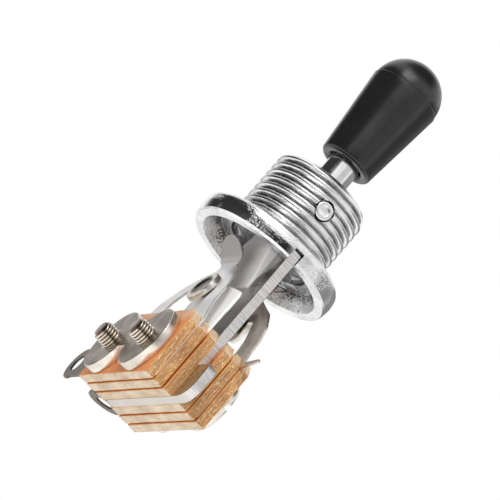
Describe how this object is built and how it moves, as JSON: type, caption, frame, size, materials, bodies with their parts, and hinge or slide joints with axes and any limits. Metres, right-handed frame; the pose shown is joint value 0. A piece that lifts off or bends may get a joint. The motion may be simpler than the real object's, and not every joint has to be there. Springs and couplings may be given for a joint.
{
  "type": "guitar pickup selector switch",
  "caption": "Toggle lever switch on a threaded collar, with a black tip and leaf springs clamped between insulating boards, for choosing pickups.",
  "frame": {"origin": "centre of the collar's panel seat, the upper face of its flange, on the barrel's axis", "axes": "+Z along the barrel towards the tip, +X along the pivot pin towards the earth lug, +Y through the stack towards the screw heads"},
  "size_m": [0.0327, 0.0182, 0.0509],
  "materials": {
    "cast_chrome": "nickel-chrome plate over a rough casting",
    "steel_pin": "cropped and staked",
    "plated_shaft": "polished plate",
    "foot_plastic": "satin moulding",
    "black_tip": "polished black moulding",
    "plated_frame": "bright plate on a sheared blank",
    "paper_board": "laminated paper board with sawn edges",
    "spring_metal": "rolled white spring metal",
    "contact_metal": "riveted, dulled",
    "plated_screws": "nickel plate",
    "sleeve_tube": "plain tube"
  },
  "bodies": {
    "housing": {"bushing": "cast_chrome", "pivot_pin": "steel_pin", "frame_plate": "plated_frame", "board_1": "paper_board", "board_2": "paper_board", "board_3": "paper_board", "board_4": "paper_board", "board_5": "paper_board", "board_6": "paper_board", "front_spring": "spring_metal", "rear_spring": "spring_metal", "front_fixed_leaf": "spring_metal", "rear_fixed_leaf": "spring_metal", "front_moving_contact": "contact_metal", "rear_moving_contact": "contact_metal", "front_fixed_contact": "contact_metal", "rear_fixed_contact": "contact_metal", "clamp_plate": "plated_screws", "stack_screws": "plated_screws", "screw_sleeves": "sleeve_tube"},
    "lever": {"lever": "plated_shaft", "lever_foot": "foot_plastic", "lever_tip": "black_tip"}
  },
  "joints": [
    {"name": "lever_tilt", "type": "hinge", "parent": "housing", "child": "lever", "pos_m": [0, 0, 0.0052], "axis": [1, 0, 0], "range_deg": [-12, 12], "deforming": ["front_spring", "rear_spring"]}
  ]
}
